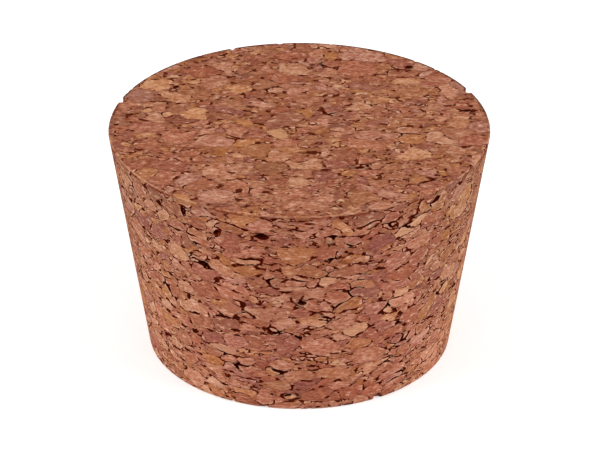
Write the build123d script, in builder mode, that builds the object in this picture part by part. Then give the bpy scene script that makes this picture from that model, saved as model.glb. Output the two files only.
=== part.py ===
from build123d import *

import os
from math import atan2, cos, degrees, radians, sin

# Tapered stopper of agglomerated cork, in millimetres. Cork granules are pressed into a block with
# a binder, and the stopper is turned from that block as one piece. It stands on its narrow end: the
# origin is the middle of that face, +Z runs up the axis to the wide end, and the front is -Y.
# A place on the stopper is given by its turn, in degrees from the front towards +X.

# Turned body
top_diameter = 50.8
bottom_diameter = 41.0
height = 31.75
edge_break = 0.25

# Gaps that the binder left open between granules
long_slit_length = 4.4
long_slit_width = 0.9
short_slit_length = 2.5
short_slit_width = 0.7
corner_length = 2.2
corner_width = 1.9
gap_depth = 1.0
end_slit_length = 2.6
end_slit_width = 0.5
end_slit_depth = 0.6

# Pits where a small granule was torn out by the tool
pit_length = 1.9
pit_width = 1.3
pit_depth = 1.2

# Chips knocked out of the two rims
chip_width = 1.7
chip_reach = 1.0
chip_floor_width = 0.7
chip_drop = 1.4
nick_width = 1.0
nick_reach = 0.5
nick_floor_width = 0.4
nick_drop = 0.8

# Every cut starts this far outside the surface
cut_clearance = 0.5

# Outlines with straight sides, as granules have: shares of a length along X and of a width along Y
slit_outline_shares = [
    (-0.5, -0.1), (-0.15, 0.4), (0.2, 0.5), (0.5, 0.15), (0.25, -0.3), (-0.2, -0.5),
]
corner_outline_shares = [
    (0.05, 0.5), (0.12, 0.0), (0.5, -0.3), (0.05, -0.2), (-0.5, -0.5), (-0.12, 0.05),
]
pit_outline_shares = [
    (-0.5, -0.1), (-0.25, 0.5), (0.3, 0.4), (0.5, -0.05), (0.2, -0.5), (-0.3, -0.45),
]

# Gaps on the front of the taper: turn in degrees, share of the height, lean of the gap in degrees
long_slit_shares = [
    (-49, 0.49, -50), (-33, 0.70, -20), (-25, 0.46, 15), (-21, 0.20, 0), (-15, 0.49, 10),
    (1, 0.56, -25), (9, 0.70, 10), (18, 0.61, 55), (35, 0.88, 15), (38, 0.27, 15),
]
short_slit_shares = [
    (-70, 0.15, -20), (-68, 0.79, -30), (-60, 0.92, -60), (-34, 0.81, -55), (-25, 0.90, 80),
    (-20, 0.07, 5), (-15, 0.76, 10), (-8, 0.41, -20), (-7, 0.20, -10), (-3, 0.07, 0),
    (14, 0.53, 0), (18, 0.38, -15), (21, 0.93, 15), (28, 0.90, -20), (30, 0.50, 20),
    (35, 0.38, 0), (38, 0.09, 20), (44, 0.94, 25), (56, 0.45, 40), (67, 0.39, 30),
]
corner_shares = [
    (-59, 0.84, 40), (-40, 0.84, 20), (-38, 0.43, -35), (-36, 0.94, 180), (-29, 0.95, 5),
    (-28, 0.26, 50), (-9, 0.67, -15), (0, 0.67, 70), (9, 0.48, 175), (10, 0.90, 30),
    (10, 0.79, 0), (16, 0.85, -30), (33, 0.19, 60), (47, 0.29, 10),
]
pit_shares = [(-56, 0.23, 25), (-46, 0.94, -30), (-13, 0.86, 5), (2, 0.35, 10), (44, 0.62, -10)]

# Gaps on the wide end: turn in degrees, share of the radius, lean in degrees
top_slit_shares = [
    (-124, 0.81, 60), (-100, 0.74, 80), (-20, 0.77, 10), (35, 0.56, -20), (46, 0.88, -45),
    (101, 0.90, 75), (132, 0.22, 20), (141, 0.88, 40), (168, 0.73, -15), (-160, 0.45, 10),
    (-65, 0.40, -60), (80, 0.55, -70),
]

# Chips and nicks: turn in degrees
top_chip_turns = [-108, 115]
top_nick_turns = [-158, -153, -174, 140, 62]
bottom_chip_turns = [31, -150]
bottom_nick_turns = [-13, 4, 100, 165]

# The back of the taper and the narrow end carry the same gaps, strewn by the golden ratio
golden_share = 0.618034
margin_share = 0.07
hidden_gap_count = 72
hidden_start_turn = 80
hidden_turn_span = 200
bottom_slit_count = 10
bottom_reach_share = 0.9
lean_span = 70

top_radius = top_diameter / 2
bottom_radius = bottom_diameter / 2
taper_run = top_radius - bottom_radius
taper_angle = degrees(atan2(taper_run, height))


def radial(turn):
    """The level direction that points out of the stopper at this turn from the front."""
    return Vector(sin(radians(turn)), -cos(radians(turn)), 0)


def taper_plane(turn, rise_share, lean):
    """The plane just clear of the taper. Its X runs level, turned by the lean, and its Z runs out."""
    out = radial(turn)
    level = radial(turn + 90)
    radius = bottom_radius + rise_share * taper_run
    touching = Plane(
        origin=out * radius + Vector(0, 0, rise_share * height),
        x_dir=level,
        z_dir=out.rotate(Axis((0, 0, 0), level), taper_angle),
    )
    return touching.rotated((0, 0, lean)).offset(cut_clearance)


def end_plane(turn, reach_share, lean, radius, level, z_dir):
    """The plane just clear of one of the two flat ends, at this share of its radius from the axis."""
    on_end = Plane(
        origin=radial(turn) * (reach_share * radius) + Vector(0, 0, level),
        x_dir=radial(turn + 90),
        z_dir=z_dir,
    )
    return on_end.rotated((0, 0, lean)).offset(cut_clearance)


def strewn_shares(count, start_turn, turn_span):
    """Places at even turns over a span, with the rise and the lean mixed by the golden ratio."""
    places = []
    for number in range(count):
        turn = start_turn + turn_span * (number + 0.5) / count
        mixed_share = (number * golden_share + 0.5) % 1
        rise_share = margin_share + (1 - 2 * margin_share) * mixed_share
        lean = lean_span * (number * golden_share**2 % 1 - 0.5)
        places.append((turn, rise_share, lean))
    return places


def gap_outline(outline_shares, length, width):
    """A closed outline of straight sides, drawn about the middle of its length and width."""
    with BuildLine() as outline:
        Polyline(*[(along * length, across * width) for along, across in outline_shares], close=True)
    make_face(outline.edges())


def chip_outline(width, reach, floor_width):
    """A bite out of a rim, drawn with +X out of the stopper and the rim at X = 0."""
    with BuildLine() as outline:
        Polyline(
            (cut_clearance, -width / 2),
            (-reach, -floor_width / 2),
            (-reach, floor_width / 2),
            (cut_clearance, width / 2),
            close=True,
        )
    make_face(outline.edges())


def rim_plane(turn, radius, level, z_dir):
    """The plane just clear of a flat end, with its origin over the rim and its X pointing out."""
    on_rim = Plane(origin=radial(turn) * radius + Vector(0, 0, level), x_dir=radial(turn), z_dir=z_dir)
    return on_rim.offset(cut_clearance)


hidden_shares = strewn_shares(hidden_gap_count, hidden_start_turn, hidden_turn_span)
all_long_slits = long_slit_shares + hidden_shares[0::4]
all_short_slits = short_slit_shares + hidden_shares[1::4] + hidden_shares[2::8]
all_corners = corner_shares + hidden_shares[3::4]
all_pits = pit_shares + hidden_shares[6::8]
bottom_slit_shares = [
    (turn, bottom_reach_share * share**0.5, lean)
    for turn, share, lean in strewn_shares(bottom_slit_count, 0, 360)
]

with BuildPart() as stopper:
    # The turned body, with both rims lightly broken
    with BuildSketch(Plane.XZ) as half_section:
        with BuildLine():
            Polyline((0, 0), (bottom_radius, 0), (top_radius, height), (0, height), close=True)
        make_face()
        chamfer(half_section.vertices().sort_by(Axis.X)[-2:], length=edge_break)
    revolve(axis=Axis.Z)

    # Gaps and pits in the taper
    with BuildSketch(*[taper_plane(*place) for place in all_long_slits]):
        gap_outline(slit_outline_shares, long_slit_length, long_slit_width)
    with BuildSketch(*[taper_plane(*place) for place in all_short_slits]):
        gap_outline(slit_outline_shares, short_slit_length, short_slit_width)
    with BuildSketch(*[taper_plane(*place) for place in all_corners]):
        gap_outline(corner_outline_shares, corner_length, corner_width)
    extrude(amount=-(cut_clearance + gap_depth), mode=Mode.SUBTRACT)
    with BuildSketch(*[taper_plane(*place) for place in all_pits]):
        gap_outline(pit_outline_shares, pit_length, pit_width)
    extrude(amount=-(cut_clearance + pit_depth), mode=Mode.SUBTRACT)

    # Finer gaps in the two flat ends
    top_planes = [end_plane(*place, top_radius, height, (0, 0, 1)) for place in top_slit_shares]
    bottom_planes = [end_plane(*place, bottom_radius, 0, (0, 0, -1)) for place in bottom_slit_shares]
    with BuildSketch(*top_planes, *bottom_planes):
        gap_outline(slit_outline_shares, end_slit_length, end_slit_width)
    extrude(amount=-(cut_clearance + end_slit_depth), mode=Mode.SUBTRACT)

    # Chips and nicks in the two rims
    top_chips = [rim_plane(turn, top_radius, height, (0, 0, 1)) for turn in top_chip_turns]
    bottom_chips = [rim_plane(turn, bottom_radius, 0, (0, 0, -1)) for turn in bottom_chip_turns]
    with BuildSketch(*top_chips, *bottom_chips):
        chip_outline(chip_width, chip_reach, chip_floor_width)
    extrude(amount=-(cut_clearance + chip_drop), mode=Mode.SUBTRACT)
    top_nicks = [rim_plane(turn, top_radius, height, (0, 0, 1)) for turn in top_nick_turns]
    bottom_nicks = [rim_plane(turn, bottom_radius, 0, (0, 0, -1)) for turn in bottom_nick_turns]
    with BuildSketch(*top_nicks, *bottom_nicks):
        chip_outline(nick_width, nick_reach, nick_floor_width)
    extrude(amount=-(cut_clearance + nick_drop), mode=Mode.SUBTRACT)

stopper.part.label = "stopper"

os.makedirs("parts", exist_ok=True)
export_step(stopper.part, "parts/stopper.step")
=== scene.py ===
from math import pi, radians

import bpy
import numpy as np
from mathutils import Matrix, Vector


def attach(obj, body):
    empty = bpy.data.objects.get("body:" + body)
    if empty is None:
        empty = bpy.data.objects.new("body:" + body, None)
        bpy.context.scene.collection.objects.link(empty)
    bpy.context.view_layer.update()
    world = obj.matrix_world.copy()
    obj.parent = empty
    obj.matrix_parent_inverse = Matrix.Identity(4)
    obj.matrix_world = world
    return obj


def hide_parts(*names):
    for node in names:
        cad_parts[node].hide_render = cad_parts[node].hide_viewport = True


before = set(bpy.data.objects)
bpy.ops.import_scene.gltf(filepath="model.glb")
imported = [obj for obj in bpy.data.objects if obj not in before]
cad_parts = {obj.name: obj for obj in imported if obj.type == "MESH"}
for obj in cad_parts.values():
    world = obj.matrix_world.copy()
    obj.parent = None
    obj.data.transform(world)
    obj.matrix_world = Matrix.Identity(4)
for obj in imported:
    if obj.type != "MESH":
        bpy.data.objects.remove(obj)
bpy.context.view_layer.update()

# The stopper: one piece of agglomerated cork, granules pressed with a binder into a block and turned to a
# taper. It stands on its narrow end. Gaps are open where granules meet, and both rims have lost some crumbs.
# Sizes are in millimetres, and turns and leans in degrees. A turn starts at the front (-Y), towards +X.
top_radius = 25.4
bottom_radius = 20.5
height = 31.75
taper_run = top_radius - bottom_radius
edge_round = 0.3
bend_points = 4
disc_points = 70
side_rows = 48
metres_per_mm = 0.001
random = np.random.default_rng(20)


def drum(points, profile):
    """Closed surface of revolution with two flat ends. Its side turns the profile (radius, level) round the
    axis. An end is a square of points mapped to a disc: a point's larger coordinate becomes its radius, and
    the other coordinate, as a share of the larger, its angle. Returns positions, outward normals and
    triangles."""
    radius, level = profile
    columns = 4 * (points - 1)
    angle = -pi / 4 + 2 * pi * np.arange(columns) / columns
    across, up = np.gradient(level), -np.gradient(radius)
    slope = np.hypot(across, up)

    def turned(out, rise):
        """Pairs of distance from the axis and rise, carried round to every angle."""
        x = out[:, None] * np.cos(angle)
        y = out[:, None] * np.sin(angle)
        z = rise[:, None] + 0 * angle
        return np.stack((x, y, z), -1).reshape(-1, 3)

    side = turned(radius, level)
    side_normals = turned(across / slope, up / slope)

    a, b = np.meshgrid(np.linspace(-1, 1, points), np.linspace(-1, 1, points))
    wide = np.abs(a) > np.abs(b)
    larger = np.where(wide, a, b)
    other = np.where(wide, b, a)
    turn = np.where(larger == 0, 0, other / np.where(larger == 0, 1, larger)) * pi / 4
    turn = np.where(wide, turn, pi / 2 - turn)
    disc = np.stack((larger * np.cos(turn), larger * np.sin(turn)), -1)[1:-1, 1:-1].reshape(-1, 2)
    inner = (points - 2) ** 2
    rising = np.arange(points - 1)
    falling = points - 1 - rising
    lowest = 0 * rising
    highest = lowest + points - 1
    edge_rows = np.concatenate((rising, highest, falling, lowest))
    edge_columns = np.concatenate((highest, falling, lowest, rising))

    def halves(index, closed):
        """Two triangles for each cell of a grid of points. Neighbouring cells have opposite diagonals."""
        right = np.roll(index, -1, 1) if closed else index[:, 1:]
        left = index if closed else index[:, :-1]
        cells = np.stack((left[:-1], right[:-1], right[1:], left[1:]), -1)
        odd = (np.add.outer(np.arange(cells.shape[0]), np.arange(cells.shape[1])) % 2).astype(bool)
        return np.concatenate(
            (
                cells[~odd][:, [0, 1, 2]],
                cells[~odd][:, [0, 2, 3]],
                cells[odd][:, [0, 1, 3]],
                cells[odd][:, [1, 2, 3]],
            )
        )

    rings = np.arange(len(side)).reshape(len(radius), columns)
    positions, normals, triangles = [side], [side_normals], [halves(rings, True)]
    for row, facing, first in ((0, -1.0, len(side)), (-1, 1.0, len(side) + inner)):
        index = np.zeros((points, points), int)
        index[1:-1, 1:-1] = first + np.arange(inner).reshape(points - 2, points - 2)
        index[edge_rows, edge_columns] = rings[row]
        flat = halves(index, False)
        triangles.append(flat if facing > 0 else flat[:, ::-1])
        positions.append(np.column_stack((disc * radius[row], np.full(inner, level[row]))))
        normals.append(np.tile((0, 0, facing), (inner, 1)))
    return np.concatenate(positions), np.concatenate(normals), np.concatenate(triangles)


# The turned body: both rims lightly rounded, and a straight taper between them
bend = np.radians(np.linspace(0, 90, bend_points))
bottom_bend = (bottom_radius - edge_round * (1 - np.sin(bend)), edge_round * (1 - np.cos(bend)))
top_bend = (top_radius - edge_round * (1 - np.cos(bend)), height - edge_round * (1 - np.sin(bend)))
straight = np.linspace(0, 1, side_rows)[1:-1]
straight_radius = bottom_bend[0][-1] + (top_bend[0][0] - bottom_bend[0][-1]) * straight
straight_level = bottom_bend[1][-1] + (top_bend[1][0] - bottom_bend[1][-1]) * straight
profile = [np.concatenate(parts) for parts in zip(bottom_bend, (straight_radius, straight_level), top_bend)]
positions, normals, triangles = drum(disc_points, profile)

# Gaps on the front of the taper, each as turn, share of the height and lean
front_long_slits = [
    (-49, 0.49, -50), (-33, 0.70, -20), (-25, 0.46, 15), (-21, 0.20, 0), (-15, 0.49, 10),
    (1, 0.56, -25), (9, 0.70, 10), (18, 0.61, 55), (35, 0.88, 15), (38, 0.27, 15),
]
front_short_slits = [
    (-70, 0.15, -20), (-68, 0.79, -30), (-60, 0.92, -60), (-34, 0.81, -55), (-25, 0.90, 80),
    (-20, 0.07, 5), (-15, 0.76, 10), (-8, 0.41, -20), (-7, 0.20, -10), (-3, 0.07, 0),
    (14, 0.53, 0), (18, 0.38, -15), (21, 0.93, 15), (28, 0.90, -20), (30, 0.50, 20),
    (35, 0.38, 0), (38, 0.09, 20), (44, 0.94, 25), (56, 0.45, 40), (67, 0.39, 30),
]
front_corners = [
    (-59, 0.84, 40), (-40, 0.84, 20), (-38, 0.43, -35), (-36, 0.94, 180), (-29, 0.95, 5),
    (-28, 0.26, 50), (-9, 0.67, -15), (0, 0.67, 70), (9, 0.48, 175), (10, 0.90, 30),
    (10, 0.79, 0), (16, 0.85, -30), (33, 0.19, 60), (47, 0.29, 10),
]
front_pits = [(-56, 0.23, 25), (-46, 0.94, -30), (-13, 0.86, 5), (2, 0.35, 10), (44, 0.62, -10)]

# The back of the taper and the narrow end have the same kinds of gap, strewn by the golden ratio
golden_share = 0.618034
margin_share = 0.07
lean_span = 70
hidden_gap_count = 72
hidden_first_turn = 80
hidden_turn_span = 200
bottom_slit_count = 10
bottom_reach_share = 0.9


def strewn(count, first_turn, turn_span):
    """Places at even turns over a span. Their share of the way up goes on by the golden ratio from one to the
    next, and their lean by the rest of it."""
    number = np.arange(count)
    turn = first_turn + turn_span * (number + 0.5) / count
    share = margin_share + (1 - 2 * margin_share) * ((number * golden_share + 0.5) % 1)
    lean = lean_span * (number * (1 - golden_share) % 1 - 0.5)
    return np.column_stack((turn, share, lean))


# Of every eight hidden gaps, two are long slits, three short slits, two corners and one a pit
hidden = strewn(hidden_gap_count, hidden_first_turn, hidden_turn_span)
long_slits = np.concatenate((front_long_slits, hidden[0::4]))
short_slits = np.concatenate((front_short_slits, hidden[1::4], hidden[2::8]))
corners = np.concatenate((front_corners, hidden[3::4]))
pits = np.concatenate((front_pits, hidden[6::8]))

# Finer slits on the two ends, each as turn, share of the radius and lean
top_slits = np.array(
    [
        (-124, 0.81, 60), (-100, 0.74, 80), (-20, 0.77, 10), (35, 0.56, -20), (46, 0.88, -45),
        (101, 0.90, 75), (132, 0.22, 20), (141, 0.88, 40), (168, 0.73, -15), (-160, 0.45, 10),
        (-65, 0.40, -60), (80, 0.55, -70),
    ]
)
bottom_slits = strewn(bottom_slit_count, 0, 360)
bottom_slits[:, 1] = bottom_reach_share * np.sqrt(bottom_slits[:, 1])

# Crumbs lost from the two rims, each as turn and size, and how many finer ones each rim has lost besides
top_crumbs = [(-108, 1.0), (115, 1.0), (-158, 0.5), (-153, 0.45), (-174, 0.5), (140, 0.5), (62, 0.5)]
bottom_crumbs = [(31, 0.8), (-150, 0.8), (-13, 0.5), (4, 0.5), (100, 0.5), (165, 0.5)]
fine_crumb_count = 40
smallest_crumb = 0.15
largest_fine_crumb = 0.4


def on_taper(turn, rise_share, lean):
    """The place on the taper at a turn and a share of the height, and its three directions: along the lean,
    across it and out of the cork."""
    turn, lean = np.radians(turn), np.radians(lean)
    sideways = np.stack((np.cos(turn), np.sin(turn), 0 * turn), -1)
    out = np.stack((np.sin(turn), -np.cos(turn), 0 * turn), -1)
    radius = bottom_radius + taper_run * rise_share
    place = out * radius[:, None] + np.outer(rise_share * height, (0, 0, 1))
    slant = np.hypot(taper_run, height)
    up = (out * taper_run + np.array((0, 0, height))) / slant
    normal = (out * height - np.array((0, 0, taper_run))) / slant
    along = sideways * np.cos(lean)[:, None] + up * np.sin(lean)[:, None]
    across = up * np.cos(lean)[:, None] - sideways * np.sin(lean)[:, None]
    return place, along, across, normal


def on_end(turn, reach_share, lean, radius, level, facing):
    """The place on a flat end at a turn and a share of its radius, and its three directions: along the lean,
    across it and out of the cork."""
    turn, lean = np.radians(turn), np.radians(lean)
    out = np.stack((np.sin(turn), -np.cos(turn), 0 * turn), -1)
    along = np.stack((np.cos(turn + lean), np.sin(turn + lean), 0 * turn), -1)
    normal = np.tile((0, 0, facing), (len(turn), 1))
    place = out * (reach_share * radius)[:, None] + np.array((0, 0, level))
    return place, along, np.cross(normal, along), normal


# A gap is a stretch along which the borders of the granules are open: long for a slit, round where three
# granules meet. Seeds for the granules stand beside it, so that a border runs through it. Each kind has its
# places, its reach along and across, its widest opening, and the directions and distance of its seeds.
gap_kinds = (
    (on_taper(*long_slits.T), 2.0, 0.7, 0.26, (90, 270), 1.5),
    (on_taper(*short_slits.T), 1.4, 0.6, 0.22, (90, 270), 1.2),
    (on_taper(*corners.T), 0.9, 0.8, 0.2, (30, 150, 270), 1.2),
    (on_end(*top_slits.T, top_radius, height, 1.0), 1.4, 0.6, 0.15, (90, 270), 1.5),
    (on_end(*bottom_slits.T, bottom_radius, 0.0, -1.0), 1.4, 0.6, 0.15, (90, 270), 1.5),
)
smallest_gap_share = 0.8
largest_gap_share = 1.2
gaps = []
anchors = [on_taper(*pits.T)[0]]
for (place, along, across, normal), length, width, opening, seed_turns, beside in gap_kinds:
    size = random.uniform(smallest_gap_share, largest_gap_share, (len(place), 1))
    gaps.append(np.hstack((place, along, across, normal, length * size, width * size, opening + 0 * size)))
    for seed_turn in np.radians(seed_turns):
        anchors.append(place + beside * (along * np.cos(seed_turn) + across * np.sin(seed_turn)))
gaps = np.concatenate(gaps)
anchors = np.concatenate(anchors)

# A crumb lost from a rim leaves a hollow of its size, round a place on the rim
chips = []
for crumbs, rise_share in ((top_crumbs, 1.0), (bottom_crumbs, 0.0)):
    fine_turn = random.uniform(-180, 180, fine_crumb_count)
    fine_size = random.uniform(smallest_crumb, largest_fine_crumb, fine_crumb_count)
    turn, size = np.concatenate((crumbs, np.column_stack((fine_turn, fine_size)))).T
    chips.append(np.column_stack((on_taper(turn, np.full(len(turn), rise_share), 0 * turn)[0], size)))
chips = np.concatenate(chips)

# The opening far from every gap, how far round a chip is looked, and the lattice of random vectors for noise
closed_opening = -1.0
search_reach = 1.0
lattice_size = 32
lattice_shift = 1000


def opening_at(places):
    """How far a border is open to either side: the widest opening of the gap there, less its share by the
    square of the distance from the gap's middle, in reaches. 0 at the gap's limit and negative beyond."""
    opening = np.full(len(places), closed_opening)
    for gap in gaps:
        middle, along, across, out = gap[:12].reshape(4, 3)
        length, width, widest = gap[12:]
        near = np.flatnonzero(np.sum((places - middle) ** 2, 1) < (2 * length) ** 2)
        away = places[near] - middle
        off = (away @ along / length) ** 2 + (away @ across / width) ** 2 + (away @ out / width) ** 2
        opening[near] = np.maximum(opening[near], widest * (1 - off))
    return opening


def outside(places, balls):
    """How far a place is outside the nearest of these balls: the distance from its middle less its radius.
    Negative inside, and no more than the search's reach."""
    far = np.full(len(places), search_reach)
    for ball in balls:
        near = np.flatnonzero(np.sum((places - ball[:3]) ** 2, 1) < (ball[3] + search_reach) ** 2)
        far[near] = np.minimum(far[near], np.linalg.norm(places[near] - ball[:3], axis=1) - ball[3])
    return far


def value_noise(places, wavelength, seed):
    """Smooth random vectors: random ones on a cubic lattice, blended by smoothstep between the eight that
    stand round a place."""
    lattice = np.random.default_rng(seed).uniform(-1, 1, (lattice_size, lattice_size, lattice_size, 3))
    scaled = places / wavelength + lattice_shift
    cell = np.floor(scaled).astype(int)
    share = scaled - cell
    share = share * share * (3 - 2 * share)
    blended = np.zeros_like(places)
    for corner in np.ndindex(2, 2, 2):
        weight = np.prod(np.where(corner, share, 1 - share), axis=1)
        blended += weight[:, None] * lattice[tuple(((cell + corner) % lattice_size).T)]
    return blended


def losses_at(places, granule, border):
    """How far a place is outside the nearest gap or pit, and outside the nearest chip of a rim. Negative
    inside. A gap reaches as far from a border as this is open, a pit is a whole granule, and coarse and fine
    noise makes gaps and chips ragged."""
    ragged = places + value_noise(places, 1.6, 3) * 0.3 + value_noise(places, 0.6, 4) * 0.25
    gap = np.where(granule < len(pits), -border, border - opening_at(ragged))
    return np.column_stack((gap, outside(ragged, chips)))


# Granules: a cell round each of these seeds, flattened along the axis because the block was pressed that way.
# The seeds fill a shell about the surface. The first ones are the anchors, and the first of those the pits.
# A seed's heft makes its granule larger: most are small, and a few are large.
squeeze = np.array((0.85, 1.15, 2.0))
shell_depth = 4.5
shell_reach = 30
strewn_seed_count = 26000
anchor_clearance = 1.2
pit_heft = 0.0
anchor_heft = 2.0
largest_heft = 7.0
heft_power = 6
box_size = 4.0
box_reach = 6.0
shell_low = (-shell_reach, -shell_reach, -shell_depth)
shell_high = (shell_reach, shell_reach, height + shell_depth)
shell = random.uniform(shell_low, shell_high, (strewn_seed_count, 3))
taper_radius = bottom_radius + taper_run * np.clip(shell[:, 2] / height, 0, 1)
below_side = taper_radius - np.hypot(shell[:, 0], shell[:, 1])
below_ends = np.minimum(shell[:, 2], height - shell[:, 2])
shell = shell[np.abs(np.minimum(below_side, below_ends)) < shell_depth]
from_anchors = np.min(np.linalg.norm((shell[:, None] - anchors) * squeeze, axis=2), axis=1)
shell = shell[from_anchors > anchor_clearance]
seeds = np.concatenate((anchors, shell)) * squeeze
hefts_of_anchors = np.where(np.arange(len(anchors)) < len(pits), pit_heft, anchor_heft)
heft = np.concatenate((hefts_of_anchors, largest_heft * random.uniform(0, 1, len(shell)) ** heft_power))


def granules_at(places):
    """The seed that holds each place, with the least squared distance less heft, and how far the border to
    the next one is: half the difference of the two, over the distance between the seeds. Places are taken box
    by box, with the seeds round each box."""
    box = np.floor(places / box_size).astype(int)
    _, box_of_place = np.unique(box, axis=0, return_inverse=True)
    order = np.argsort(box_of_place.ravel(), kind="stable")
    holder = np.zeros(len(places), int)
    border = np.zeros(len(places))
    for part in np.split(order, np.flatnonzero(np.diff(box_of_place.ravel()[order])) + 1):
        low = box[part[0]] * box_size - box_reach
        close = np.flatnonzero(np.all((seeds > low) & (seeds < low + box_size + 2 * box_reach), axis=1))
        power = np.sum((places[part, None] - seeds[close]) ** 2, axis=2) - heft[close]
        two = np.argpartition(power, 1, axis=1)[:, :2]
        two_power = np.take_along_axis(power, two, 1)
        rank = np.argsort(two_power, axis=1)
        first, second = close[np.take_along_axis(two, rank, 1)].T
        holder[part] = first
        apart = np.linalg.norm((seeds[first] - seeds[second]) * squeeze, axis=1)
        border[part] = np.ptp(two_power, axis=1) / (2 * apart)
    return holder, border


def shifted(places):
    """Places as the seeds see them: coarse and fine noise shifts them, so that the borders wander, and the
    squeeze stretches them along the axis."""
    wander = value_noise(places, 4.0, 1) * 0.9 + value_noise(places, 1.5, 2) * 0.5
    return (places + wander) * squeeze


def split_near(fields, faces, near):
    """Halves the edges whose two ends are near a gap, and cuts each triangle along its halved edges: in two
    for one such edge, in four for three."""
    edges = np.stack((faces, np.roll(faces, -1, 1)), -1)
    halved = near[edges].all(2)
    pairs, which = np.unique(np.sort(edges[halved], 1), axis=0, return_inverse=True)
    new = np.full(faces.shape, -1)
    new[halved] = len(fields) + which.ravel()
    count = halved.sum(1)
    made = [faces[count == 0]]
    one = np.flatnonzero(count == 1)
    turn = (np.argmax(halved[one], axis=1)[:, None] + np.arange(3)) % 3
    a, b, c = np.take_along_axis(faces[one], turn, 1).T
    ab = np.take_along_axis(new[one], turn, 1)[:, 0]
    made += [np.column_stack(part) for part in ((a, ab, c), (ab, b, c))]
    every = np.flatnonzero(count == 3)
    a, b, c = faces[every].T
    ab, bc, ca = new[every].T
    made += [np.column_stack(part) for part in ((a, ab, ca), (ab, b, bc), (ca, bc, c), (ab, bc, ca))]
    return np.concatenate((fields, fields[pairs].mean(1))), np.concatenate(made)


# A cut stays clear of the ends of an edge, so that no sliver is left
least_cut_share = 0.06
most_cut_share = 0.94


def cut_along(fields, faces, kinds, share_between):
    """Cuts the triangles where the kind of their corners changes. A cut edge gets a new point at the share of
    its length that share_between gives, and a triangle with three kinds one more point in its middle. Fields
    blend along the cut edges. Returns the fields, the triangles, and the kind and old triangle of each."""
    kind = kinds[faces]
    differ = kind != np.roll(kind, -1, 1)
    cuts = differ.sum(1)
    edges = np.stack((faces, np.roll(faces, -1, 1)), -1)
    pairs, which = np.unique(np.sort(edges[differ], 1), axis=0, return_inverse=True)
    share = np.clip(share_between(pairs[:, 0], pairs[:, 1]), least_cut_share, most_cut_share)[:, None]
    on_edges = fields[pairs[:, 0]] * (1 - share) + fields[pairs[:, 1]] * share
    new = np.full(faces.shape, -1)
    new[differ] = len(fields) + which.ravel()

    uncut = np.flatnonzero(cuts == 0)
    two = np.flatnonzero(cuts == 2)
    turn = (np.argmin(differ[two], axis=1)[:, None] + np.array((2, 0, 1))) % 3
    lone, p, q = np.take_along_axis(faces[two], turn, 1).T
    after, _, before = np.take_along_axis(new[two], turn, 1).T
    made = [tuple(faces[uncut].T), (lone, after, before), (after, p, q), (after, q, before)]
    owner = [faces[uncut][:, 0], lone, p, p]
    source = [uncut, two, two, two]

    three = np.flatnonzero(cuts == 3)
    middles = len(fields) + len(pairs) + np.arange(len(three))
    stacked = np.concatenate((fields, on_edges))
    in_middle = stacked[new[three]].mean(1)
    for i in range(3):
        corner = faces[three][:, i]
        made += [(corner, new[three][:, i], middles), (corner, middles, new[three][:, i - 1])]
        owner += [corner, corner]
        source += [three, three]
    made = np.concatenate([np.column_stack(part) for part in made])
    return np.concatenate((stacked, in_middle)), made, kinds[np.concatenate(owner)], np.concatenate(source)


# The mesh gets finer near the limits of the gaps, pits and chips, in two steps
for split_reach in (0.5, 0.18):
    losses = losses_at(positions, *granules_at(shifted(positions)))
    near_limit = np.any(np.abs(losses) < split_reach, axis=1)
    split, triangles = split_near(np.hstack((positions, normals)), triangles, near_limit)
    positions, normals = split[:, :3], split[:, 3:]
looked_up = shifted(positions)
granule, border = granules_at(looked_up)

# A granule stays whole if it is large or next to a gap. The others are one mass of crumbs, which has the
# number after the last granule's.
large_heft = 1.4
beside_gap = -0.4
crumb_mass = len(seeds)
whole = heft > large_heft
whole[: len(anchors)] = True
whole[granule[opening_at(positions) > beside_gap]] = True
piece = np.where(whole[granule], granule, crumb_mass)


def border_share(i, j):
    """The share of the way from place i to place j at which their two granules hold it equally."""
    one, other = granule[i], granule[j]

    def lead(k):
        """How much better the first granule holds a place: the difference of squared distance less heft."""
        to_one = np.sum((looked_up[k] - seeds[one]) ** 2, 1) - heft[one]
        to_other = np.sum((looked_up[k] - seeds[other]) ** 2, 1) - heft[other]
        return to_other - to_one

    return lead(i) / (lead(i) - lead(j))


# The faces are cut along the borders. A new point lies on a border, and belongs to the lowest piece round it.
fields = np.column_stack((positions, normals, border))
fields, triangles, piece_of_face, _ = cut_along(fields, triangles, piece, border_share)
fields[len(positions):, -1] = 0
lowest_piece = np.full(len(fields), crumb_mass)
np.minimum.at(lowest_piece, triangles, piece_of_face[:, None])
fields = np.column_stack((fields, losses_at(fields[:, :3], lowest_piece, fields[:, -1])))
past_limit = fields[:, -2:].min(1)


def limit_share(i, j):
    """The share of the way from place i to place j at which the limit of a gap, pit or chip is."""
    return past_limit[i] / (past_limit[i] - past_limit[j])


fields, triangles, _, source = cut_along(fields, triangles, (past_limit < 0).astype(int), limit_share)
piece_of_face = piece_of_face[source]

# Inside their limits, gaps and pits sink to their depth over the width of a wall, and chips sink as bowls
wall = 0.1
gap_depth = 1.0
chip_steepness = 1.3
surface, normals, border, gap, chip = np.split(fields, (3, 6, 7, 8), axis=1)
normals = normals / np.linalg.norm(normals, axis=1)[:, None]
sunk = np.maximum(np.clip(-gap / wall, 0, 1) * gap_depth, -chip_steepness * chip)
positions = surface - normals * sunk

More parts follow.
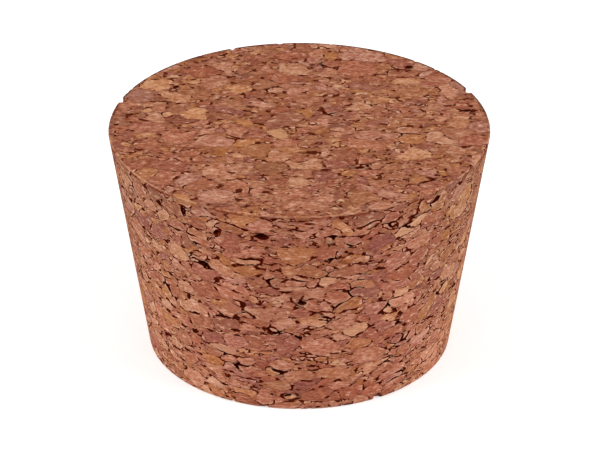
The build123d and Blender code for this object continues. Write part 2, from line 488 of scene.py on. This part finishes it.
# The mesh carries what the material needs. A point's share in an end is 0 on the taper, 1 on an end, and
# between the two round a rim.
sharp_angle = radians(35)
end_share = np.clip((np.abs(normals[:, 2]) - 0.3) / 0.6, 0, 1)
mesh = bpy.data.meshes.new("cork_body")
mesh.from_pydata(positions * metres_per_mm, [], triangles)
for name, domain, values in (
    ("border", "POINT", border),
    ("gap", "POINT", gap),
    ("open", "POINT", opening_at(surface)),
    ("end_face", "POINT", end_share),
    ("piece", "FACE", piece_of_face),
):
    mesh.attributes.new(name, "FLOAT", domain).data.foreach_set("value", values.ravel().astype(np.float32))
mesh.shade_smooth()
mesh.set_sharp_from_angle(angle=sharp_angle)
cork_body = bpy.data.objects.new("cork_body", mesh)
bpy.context.scene.collection.objects.link(cork_body)


def srgb(red, green, blue):
    """The linear colour of an sRGB one given as 0 to 255: the sRGB curve undone, and opaque."""
    share = np.array((red, green, blue)) / 255
    linear = np.where(share <= 0.04045, share / 12.92, ((share + 0.055) / 1.055) ** 2.4)
    return (*linear.tolist(), 1.0)


# Colours of the cork itself, then of the binder, the dark marks, and the painted highlights and shade
dark_cork = srgb(76, 24, 10)
brown_cork = srgb(174, 109, 81)
pale_cork = srgb(236, 184, 154)
mauve_cork = srgb(158, 94, 86)
russet_cork = srgb(176, 98, 74)
tan_cork = srgb(170, 106, 80)
ochre_cork = srgb(190, 120, 68)
bark = srgb(120, 74, 62)
straw = srgb(226, 174, 136)
binder = srgb(116, 58, 38)
stroke_lip_highlight = srgb(228, 178, 148)
rim_shade_brown = srgb(110, 60, 46)
side_brink = srgb(112, 36, 10)
end_brink = srgb(118, 52, 28)
side_core = srgb(58, 13, 6)
end_core = srgb(80, 28, 13)
lip_highlight_pale = srgb(220, 172, 140)
rim_highlight_pale = srgb(212, 158, 124)
back_rim_shade_colour = srgb(70, 40, 32)
gap_shade_brown = srgb(84, 20, 8)
gap_shade_black = srgb(34, 7, 3)

# Tints that multiply the colour, all painted light and shade: paler at the foot and darker at the top of the
# taper's middle and flanks, and lighter and yellower on the ends
middle_foot_painted_light = (1.04, 1.03, 1.06, 1.0)
middle_top_painted_shade = (0.94, 0.93, 0.95, 1.0)
flank_foot_painted_light = (1.16, 1.29, 1.3, 1.0)
flank_top_painted_shade = (0.73, 0.8, 0.81, 1.0)
end_painted_light = (1.0, 1.05, 1.03, 1.0)

cork = bpy.data.materials.new("cork")
cork.use_nodes = True
tree = cork.node_tree
cork_shader = tree.nodes["Principled BSDF"]


def node(kind, *inputs, **settings):
    """A new node in the tree in hand. Inputs go to its sockets in order: a value, another node's output, or
    None to skip one."""
    made = tree.nodes.new(kind)
    for name, value in settings.items():
        setattr(made, name, value)
    for socket, value in zip(made.inputs, inputs):
        if isinstance(value, bpy.types.NodeSocket):
            tree.links.new(value, socket)
        elif value is not None:
            socket.default_value = value
    return made


def calc(operation, *inputs):
    """The number that an operation makes of its inputs."""
    return node("ShaderNodeMath", *inputs, operation=operation).outputs[0]


def vector(operation, *inputs):
    """The vector that an operation makes of its inputs, or the number for a dot product or a length."""
    made = node("ShaderNodeVectorMath", *inputs, operation=operation)
    return made.outputs[1 if operation in ("DOT_PRODUCT", "LENGTH") else 0]


def blend(share, one, other, how="MIX"):
    """One colour at a share of 0, the other at 1, and a straight mix between. When told to multiply, the two
    colours' product takes the place of the other."""
    no_numbers = [None] * 5
    return node("ShaderNodeMix", share, *no_numbers, one, other, data_type="RGBA", blend_type=how).outputs[2]


def ramp(share, *stops):
    """The colour at a share, mixed straight between stops that each have a place and a colour."""
    made = node("ShaderNodeValToRGB", share)
    elements = made.color_ramp.elements
    while len(elements) < len(stops):
        elements.new(1.0)
    for element, (place, colour) in zip(elements, stops):
        element.position = place
        element.color = colour
    return made.outputs[0]


def fade(value, low, high):
    """0 below low and 1 above high, by smoothstep between, or the other way round when low is the larger."""
    return node("ShaderNodeMapRange", value, low, high, 0.0, 1.0, interpolation_type="SMOOTHSTEP").outputs[0]


def attribute(name):
    """The value that the mesh carries under this name."""
    return node("ShaderNodeAttribute", attribute_name=name).outputs["Fac"]


def noise(where, scale, detail=2.0, roughness=0.5, output="Fac"):
    """Noise from 0 to 1 with this many waves to the millimetre, and finer waves of less weight on top."""
    made = node("ShaderNodeTexNoise", where)
    made.inputs["Scale"].default_value = scale
    made.inputs["Detail"].default_value = detail
    made.inputs["Roughness"].default_value = roughness
    return made.outputs[output]


object_mm = vector("SCALE", node("ShaderNodeTexCoord").outputs["Object"], None, None, 1 / metres_per_mm)
x_mm, y_mm, z_mm = node("ShaderNodeSeparateXYZ", object_mm).outputs
end_face = attribute("end_face")
side_face = calc("SUBTRACT", 1.0, end_face)
gap_mm = attribute("gap")

# The mass of crumbs is split into cells, flattened like the granules. The border between the two nearest
# crumbs is where their distances are equal.
crumb_squeeze = (0.85, 1.15, 2.4)
crumb_scale = 0.75
crumb_place = vector("MULTIPLY_ADD", noise(object_mm, 0.7, 1.0, 0.5, "Color"), (1.4, 1.4, 1.4), object_mm)
crumb_place = vector("MULTIPLY", crumb_place, crumb_squeeze)
nearest = node("ShaderNodeTexVoronoi", crumb_place, None, crumb_scale, feature="F1").outputs
next_one = node("ShaderNodeTexVoronoi", crumb_place, None, crumb_scale, feature="F2").outputs
apart = vector("SUBTRACT", nearest["Position"], next_one["Position"])
between = vector("SCALE", vector("ADD", nearest["Position"], next_one["Position"]), None, None, 0.5)
past_border = vector("DOT_PRODUCT", vector("SUBTRACT", crumb_place, between), apart)
crumb_border = calc("DIVIDE", past_border, vector("LENGTH", vector("MULTIPLY", apart, crumb_squeeze)))
crumbled = calc("GREATER_THAN", attribute("piece"), crumb_mass - 0.5)
edge = node("ShaderNodeMix", crumbled, None, attribute("border"), crumb_border).outputs[0]

# Each granule or crumb has its own tone and tint, and faint streaks that run across the pressing. A few are
# as dark as bark or as pale as straw, and pale flakes lie over them.
chance = node("ShaderNodeTexWhiteNoise", None, attribute("piece"), noise_dimensions="1D").outputs["Color"]
chance = blend(crumbled, chance, nearest["Color"])
tone_chance, tint_chance, odd_chance = node("ShaderNodeSeparateColor", chance).outputs
pressed = vector("MULTIPLY", object_mm, (0.8, 1.2, 2.2))
own_place = vector("MULTIPLY_ADD", chance, (40.0, 40.0, 40.0), pressed)
tone = calc("MULTIPLY_ADD", calc("SUBTRACT", tone_chance, 0.5), 0.42, 0.5)
tone = calc("MULTIPLY_ADD", calc("SUBTRACT", noise(own_place, 0.9, 4.0, 0.7), 0.5), 1.1, tone)
tone = calc("MULTIPLY_ADD", calc("SUBTRACT", noise(pressed, 2.0, 3.0, 0.6), 0.5), 1.5, tone)
colour = ramp(tone, (0.1, dark_cork), (0.5, brown_cork), (0.9, pale_cork))
tint = ramp(tint_chance, (0.0, mauve_cork), (0.35, russet_cork), (0.65, tan_cork), (1.0, ochre_cork))
colour = blend(0.55, colour, tint)
oddness = calc("MULTIPLY_ADD", crumbled, 0.3, 0.35)
colour = blend(calc("MULTIPLY", fade(odd_chance, 0.05, 0.04), oddness), colour, bark)
colour = blend(calc("MULTIPLY", fade(odd_chance, 0.97, 0.98), oddness), colour, straw)
flake = fade(noise(pressed, 0.9, 3.0, 0.6), 0.57, 0.7)
colour = blend(calc("MULTIPLY", flake, 0.6), colour, pale_cork)

# The ends carry painted light, a little lighter and yellower than the taper. The taper carries painted light
# and shade by height: paler at the foot and darkest under the wide end, most so on its flanks.
rise = calc("DIVIDE", z_mm, height)
flank = calc("MULTIPLY", fade(calc("ABSOLUTE", x_mm), 8.0, 20.0), side_face)
middle_painted_shading = blend(rise, middle_foot_painted_light, middle_top_painted_shade)
flank_painted_shading = blend(rise, flank_foot_painted_light, flank_top_painted_shade)
taper_painted_shading = blend(flank, middle_painted_shading, flank_painted_shading)
colour = blend(1.0, colour, blend(end_face, taper_painted_shading, end_painted_light), "MULTIPLY")

# Thin seams of binder on all borders, and dark strokes on those parts that are open: painted shade in cracks
# that the mesh does not open, with a painted highlight beside them.
# The distance from a border is counted in widths of its stroke.
edge_mm = calc("MULTIPLY_ADD", calc("SUBTRACT", noise(object_mm, 1.8, 1.0), 0.5), 0.12, edge)
stretch = calc("SUBTRACT", noise(pressed, 0.9, 2.0, 0.5), calc("MULTIPLY", end_face, 0.03))
stretch = calc("MULTIPLY_ADD", flank, 0.025, stretch)
openness = calc("MAXIMUM", fade(stretch, 0.51, 0.57), fade(attribute("open"), -0.25, -0.05))
stroke_width = calc("MULTIPLY_ADD", fade(noise(object_mm, 0.45, 1.0), 0.45, 0.7), 0.04, 0.158)
stroke_width = calc("MULTIPLY_ADD", end_face, 0.03, stroke_width)
stroke_width = calc("MULTIPLY_ADD", crumbled, -0.05, stroke_width)
widths_off = calc("DIVIDE", calc("ABSOLUTE", edge_mm), calc("MULTIPLY_ADD", openness, stroke_width, 0.001))
stroke = calc("MULTIPLY", fade(widths_off, 1.0, 0.7), fade(openness, 0.25, 0.6))
seam = calc("MULTIPLY", fade(edge_mm, 0.22, 0.02), calc("MULTIPLY_ADD", end_face, 0.1, 0.28))
colour = blend(seam, colour, binder)
painted_stroke_highlight = calc("MULTIPLY", fade(widths_off, 2.6, 1.2), calc("MULTIPLY_ADD", flank, 0.3, 0.15))
colour = blend(painted_stroke_highlight, colour, stroke_lip_highlight)

# Flecks beside the borders, specks on the ends, and a broken dark line along both rims of the taper, painted
# shade under the rounded wide rim and at the foot
fleck = calc("MULTIPLY_ADD", end_face, 0.02, noise(pressed, 1.5, 2.0, 0.6))
fleck = calc("MULTIPLY", fade(fleck, 0.61, 0.66), fade(edge, 0.6, 0.2))
speck = calc("MULTIPLY", fade(noise(pressed, 2.4, 1.0), 0.65, 0.72), end_face)
dark = calc("MAXIMUM", stroke, calc("MULTIPLY", calc("MAXIMUM", fleck, speck), 0.7))
below_rim = calc("SUBTRACT", height, z_mm)
from_rims = calc("MINIMUM", calc("ABSOLUTE", calc("SUBTRACT", below_rim, 0.4)), z_mm)
rim_shade_line = calc("MULTIPLY", fade(from_rims, 0.2, 0.1), calc("MULTIPLY", side_face, 0.7))
rim_shade_line = calc("MULTIPLY", rim_shade_line, fade(noise(object_mm, 0.3, 3.0, 0.7), 0.46, 0.54))
dark = calc("MAXIMUM", dark, rim_shade_line)
# Painted shade: the taper turns darker and browner just under the wide rim
rim_shade = calc("MULTIPLY", fade(below_rim, 1.5, 0.4), side_face)
colour = blend(calc("MULTIPLY", rim_shade, 0.3), colour, rim_shade_brown)
# The dark marks are brown at their brink and nearly black in their core: painted shade in the strokes and the
# rim lines, and the cork's own colour in flecks and specks
brink = blend(end_face, side_brink, end_brink)
core = blend(end_face, side_core, end_core)
colour = blend(dark, colour, blend(fade(widths_off, 0.8, 0.1), brink, core))

# Painted highlights on the lips of the gaps and on the rounded rims, broken by noise, and painted shade in a
# dark line along the back of the upper rim
painted_lip_highlight = calc("MULTIPLY", fade(gap_mm, 0.22, 0.05), fade(noise(object_mm, 0.8, 1.0), 0.45, 0.55))
colour = blend(calc("MULTIPLY", painted_lip_highlight, 0.4), colour, lip_highlight_pale)
painted_rim_highlight = calc("MULTIPLY", calc("MULTIPLY", end_face, side_face), 2.4)
painted_rim_highlight = calc("MULTIPLY", painted_rim_highlight, fade(noise(object_mm, 0.4, 3.0, 0.7), 0.38, 0.6))
colour = blend(painted_rim_highlight, colour, rim_highlight_pale)
from_axis = vector("LENGTH", vector("MULTIPLY", object_mm, (1.0, 1.0, 0.0)))
painted_back_rim_shade = calc("MULTIPLY", fade(y_mm, -4.0, 8.0), fade(from_axis, 24.8, 25.1))
painted_back_rim_shade = calc("MULTIPLY", painted_back_rim_shade, end_face)
painted_back_rim_shade = calc("MULTIPLY", painted_back_rim_shade, fade(noise(object_mm, 0.35, 3.0, 0.7), 0.3, 0.5))
colour = blend(calc("MULTIPLY", painted_back_rim_shade, 0.8), colour, back_rim_shade_colour)

# Painted shade in the gaps: dark inside, and almost black at the bottom. The cork is dry and matt, and finely
# rough.
inside = blend(fade(gap_mm, -0.1, -0.4), gap_shade_brown, gap_shade_black)
colour = blend(fade(gap_mm, 0.03, -0.01), colour, inside)
tree.links.new(colour, cork_shader.inputs["Base Color"])
cork_shader.inputs["Roughness"].default_value = 0.9
cork_shader.inputs["Specular IOR Level"].default_value = 0.0
relief = calc("SUBTRACT", calc("MULTIPLY", noise(object_mm, 3.0, 3.0, 0.6), 0.4), dark)
bump = node("ShaderNodeBump")
bump.inputs["Strength"].default_value = 0.4
bump.inputs["Distance"].default_value = 0.0001
tree.links.new(relief, bump.inputs["Height"])
tree.links.new(bump.outputs[0], cork_shader.inputs["Normal"])
mesh.materials.append(cork)
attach(cork_body, "root")
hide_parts("stopper")

# The floor: a plain sheet of white card, laid flat just under the stopper. It takes the soft shadow, and
# glows a little where it is seen, so that the background is white.
floor_reach = 2.0
floor_drop = 2e-5
floor_glow = 0.4
floor_corners = np.array(((-1, -1), (1, -1), (1, 1), (-1, 1))) * floor_reach
floor_mesh = bpy.data.meshes.new("floor")
floor_mesh.from_pydata(np.column_stack((floor_corners, np.full(4, -floor_drop))), [], [(0, 1, 2, 3)])
floor = bpy.data.objects.new("floor", floor_mesh)
bpy.context.scene.collection.objects.link(floor)


def where_seen(unseen, seen):
    """One strength for the light that falls on things, and another where the camera looks: straight at the
    surface, in a gloss or through glass."""
    path = node("ShaderNodeLightPath").outputs
    by_gloss_or_glass = calc("ADD", path["Is Glossy Ray"], path["Is Transmission Ray"])
    return calc("MULTIPLY_ADD", calc("ADD", path["Is Camera Ray"], by_gloss_or_glass), seen - unseen, unseen)


card = bpy.data.materials.new("white")
card.use_nodes = True
tree = card.node_tree
card_shader = tree.nodes["Principled BSDF"]
card_shader.inputs["Base Color"].default_value = (0.9, 0.9, 0.9, 1.0)
card_shader.inputs["Roughness"].default_value = 1.0
card_shader.inputs["Specular IOR Level"].default_value = 0.0
card_shader.inputs["Emission Color"].default_value = (1.0, 1.0, 1.0, 1.0)
tree.links.new(where_seen(0.0, floor_glow), card_shader.inputs["Emission Strength"])
floor_mesh.materials.append(card)

# The light: an even white room, at half strength but white where it is seen, and a large soft lamp on either
# side, in front of the stopper and turned to it.
room_light = 0.5
lamp_size = 0.6
lamp_watts = 4.4
lamp_across = 0.7
lamp_front = -0.2
lamp_height = 0.38
lamp_aim = Vector((0, 0, 0.016))
world = bpy.data.worlds.new("room")
bpy.context.scene.world = world
world.use_nodes = True
tree = world.node_tree
background = tree.nodes["Background"]
background.inputs["Color"].default_value = (1.0, 1.0, 1.0, 1.0)
tree.links.new(where_seen(room_light, 1.0), background.inputs["Strength"])
for name, lamp_x in (("left_softbox", -lamp_across), ("right_softbox", lamp_across)):
    lamp = bpy.data.lights.new(name, "AREA")
    lamp.size = lamp_size
    lamp.energy = lamp_watts
    softbox = bpy.data.objects.new(name, lamp)
    softbox.location = (lamp_x, lamp_front, lamp_height)
    softbox.rotation_euler = (lamp_aim - softbox.location).to_track_quat("-Z", "Y").to_euler()
    bpy.context.scene.collection.objects.link(softbox)

# The camera: a long lens half a metre in front of the stopper, looking down at its wide end. It is aimed at
# half the height, and a small shift of the lens sets the frame.
elevation = radians(28.69)
distance = 0.5107
lens_angle = radians(9.073)
aim = Vector((0, 0, height / 2 * metres_per_mm))
camera_data = bpy.data.cameras.new("camera")
camera_data.sensor_fit = "HORIZONTAL"
camera_data.angle = lens_angle
camera_data.shift_x = 0.0011
camera_data.shift_y = 0.0085
camera = bpy.data.objects.new("camera", camera_data)
camera.location = Vector((0, -np.cos(elevation), np.sin(elevation))) * distance + aim
camera.rotation_euler = (pi / 2 - elevation, 0, 0)
bpy.context.scene.collection.objects.link(camera)
bpy.context.scene.camera = camera
bpy.context.scene.view_settings.view_transform = "Standard"
